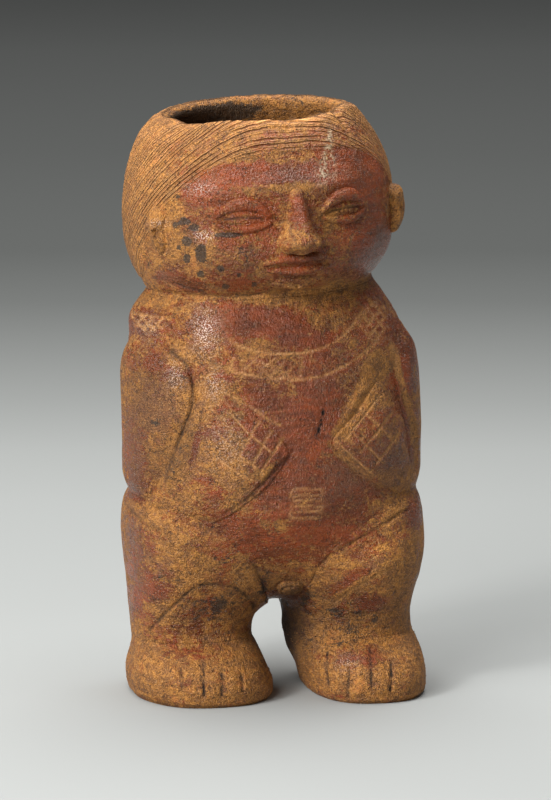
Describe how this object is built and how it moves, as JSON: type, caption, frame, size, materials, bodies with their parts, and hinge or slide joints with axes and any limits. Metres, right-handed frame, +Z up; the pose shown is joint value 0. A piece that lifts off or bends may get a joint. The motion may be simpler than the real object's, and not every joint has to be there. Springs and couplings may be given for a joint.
{
  "type": "figural vessel",
  "caption": "Hand-built clay vessel in the shape of a standing figure, with its hands on the belly; the open top of the head is the mouth, and it rests on two flat soles.",
  "frame": {"origin": "middle of the bounding box at the level of the soles", "axes": "+Z up through the mouth, -Y towards the front of the figure, -X towards the figure's right side"},
  "size_m": [0.106, 0.0912, 0.2022],
  "materials": {
    "slipped_clay": "burnished red slip, worn through to tan clay",
    "bare_clay": "matte, sandy"
  },
  "bodies": {
    "root": {"head_bowl": "slipped_clay", "torso": "slipped_clay", "left_leg": "slipped_clay", "right_leg": "slipped_clay", "left_upper_arm": "slipped_clay", "right_upper_arm": "slipped_clay", "left_forearm_and_hand": "slipped_clay", "right_forearm_and_hand": "slipped_clay", "left_ear": "slipped_clay", "right_ear": "slipped_clay", "nose": "slipped_clay", "left_upper_eyelid": "slipped_clay", "right_upper_eyelid": "slipped_clay", "left_lower_eyelid": "slipped_clay", "right_lower_eyelid": "slipped_clay", "upper_lip": "slipped_clay", "lower_lip": "slipped_clay", "chin_pad": "slipped_clay", "groin_pellet": "slipped_clay", "left_foot": "bare_clay", "right_foot": "bare_clay"}
  },
  "joints": []
}
